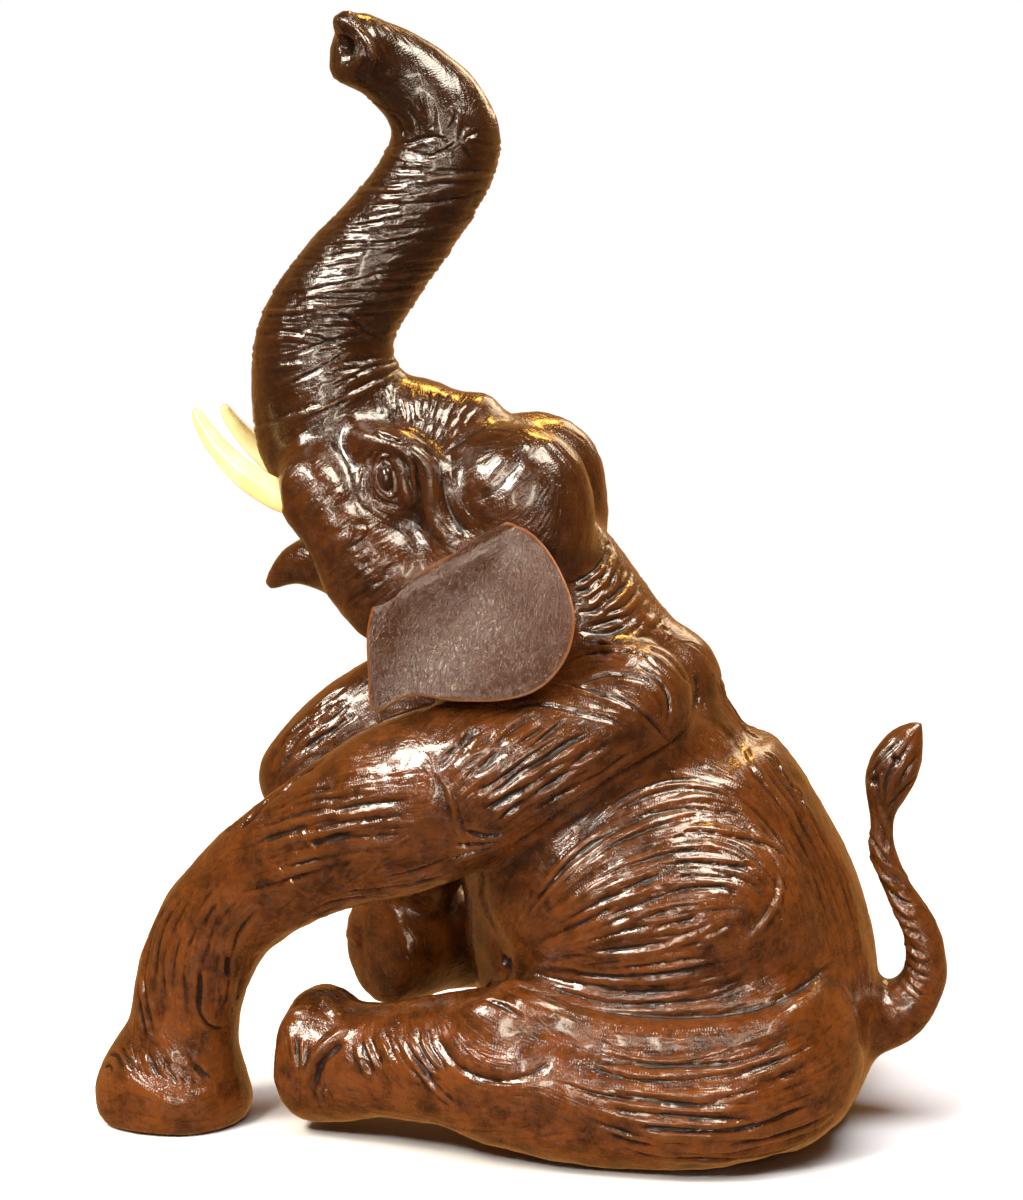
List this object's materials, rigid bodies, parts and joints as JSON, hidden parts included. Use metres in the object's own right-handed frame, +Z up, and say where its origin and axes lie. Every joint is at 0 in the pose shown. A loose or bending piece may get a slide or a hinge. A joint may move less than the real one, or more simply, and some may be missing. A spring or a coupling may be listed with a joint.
{
  "type": "leather elephant sculpture",
  "caption": "Leather-covered sculpture of a seated elephant with a raised trunk, one foreleg planted, flat leather ears, ivory-coloured tusks and a curled-up tail.",
  "frame": {"origin": "on the floor, under the middle of the sculpture's box", "axes": "+Z up, -X the way the elephant faces, -Y its left side"},
  "size_m": [0.4608, 0.2634, 0.596],
  "materials": {
    "body_leather": "polished dark brown leather, wrinkled, worn to orange-brown low down",
    "ear_leather": "flat reddish-brown leather with a brushed grain, satin",
    "tusk_ivory": "smooth ivory-coloured resin",
    "eye_glass": "glossy dark brown"
  },
  "bodies": {
    "root": {"body": "body_leather", "ear_left": "ear_leather", "ear_right": "ear_leather", "tusk_left": "tusk_ivory", "tusk_right": "tusk_ivory", "eye_left": "eye_glass", "eye_right": "eye_glass"}
  },
  "joints": []
}
